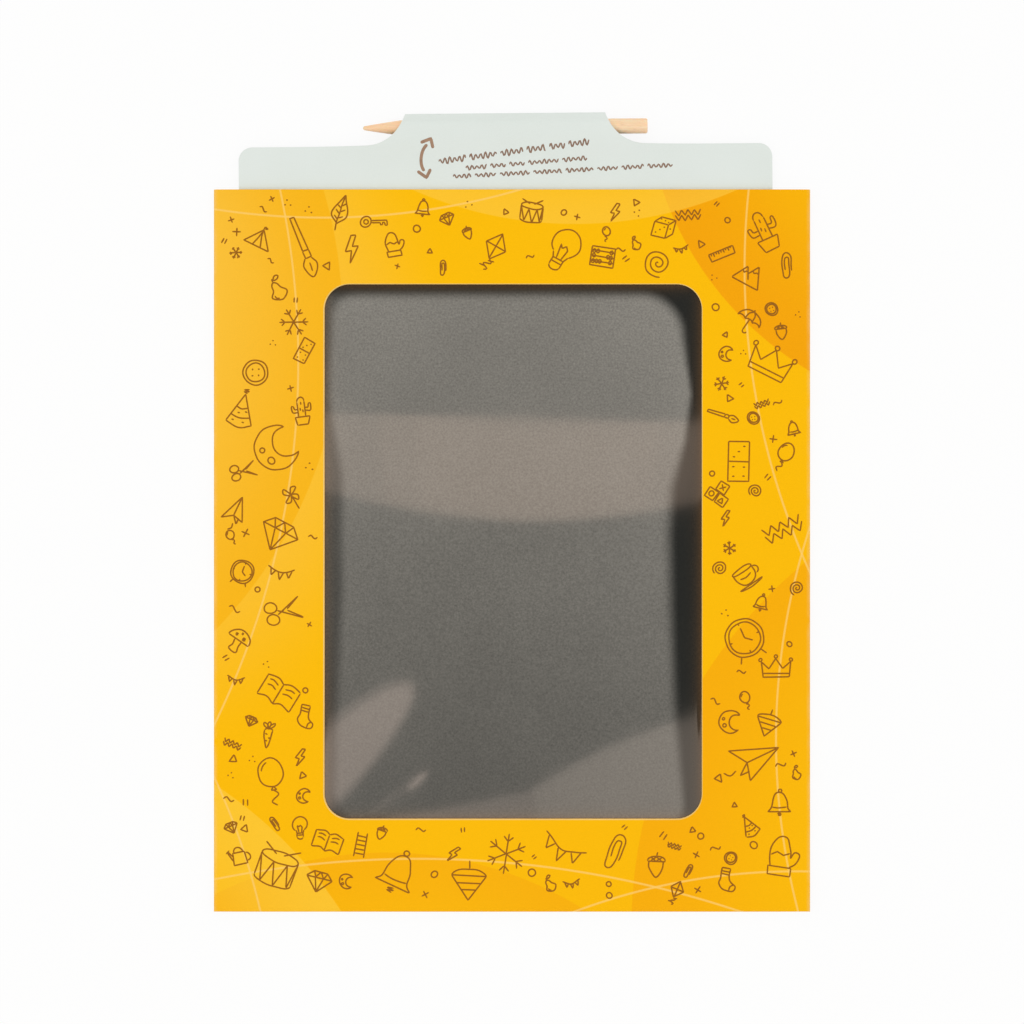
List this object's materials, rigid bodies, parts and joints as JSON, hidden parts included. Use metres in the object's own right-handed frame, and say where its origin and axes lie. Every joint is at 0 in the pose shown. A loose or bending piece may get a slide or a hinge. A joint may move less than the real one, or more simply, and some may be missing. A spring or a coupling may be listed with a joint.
{
  "type": "magic slate",
  "caption": "Flat printed card sleeve with a grey film window over wax; a card slider pulls out to clear the drawing and carries a wooden stylus in its folded tab.",
  "frame": {"origin": "middle of the sleeve's back face, on the table that the slate lies on", "axes": "+X to the right of the window, +Y towards the mouth of the sleeve, the way the slider is pulled, +Z out of the window"},
  "size_m": [0.19, 0.2547, 0.0061],
  "materials": {
    "printed_card": "satin",
    "plain_card": "matte",
    "glue": "matte",
    "black_card": "matte",
    "wax": "satin",
    "grey_film": "gloss",
    "tape": "satin",
    "grey_card": "matte",
    "mint_card": "matte",
    "stylus_wood": "matte"
  },
  "bodies": {
    "sleeve": {"front_wrap": "printed_card", "back_panel": "plain_card", "flap_glue_left": "glue", "flap_glue_right": "glue", "flap_glue_bottom": "glue", "wax_board": "black_card", "board_glue": "glue", "wax_coat": "wax", "writing_film": "grey_film", "film_tape_left": "tape", "film_tape_right": "tape", "film_tape_top": "tape", "film_tape_bottom": "tape", "side_spacer_left": "grey_card", "side_spacer_right": "grey_card", "mouth_stop_left": "grey_card", "mouth_stop_right": "grey_card"},
    "slider": {"slider_card": "mint_card", "tab_glue": "glue"},
    "stylus": {"stylus": "stylus_wood"}
  },
  "joints": [
    {"name": "slider_pull", "type": "slide", "parent": "sleeve", "child": "slider", "axis": [0, 1, 0], "range_m": [0, 0.198]},
    {"name": "stylus_pull", "type": "slide", "parent": "slider", "child": "stylus", "axis": [1, 0.0087, 0], "range_m": [-0.075, 0.075]}
  ]
}
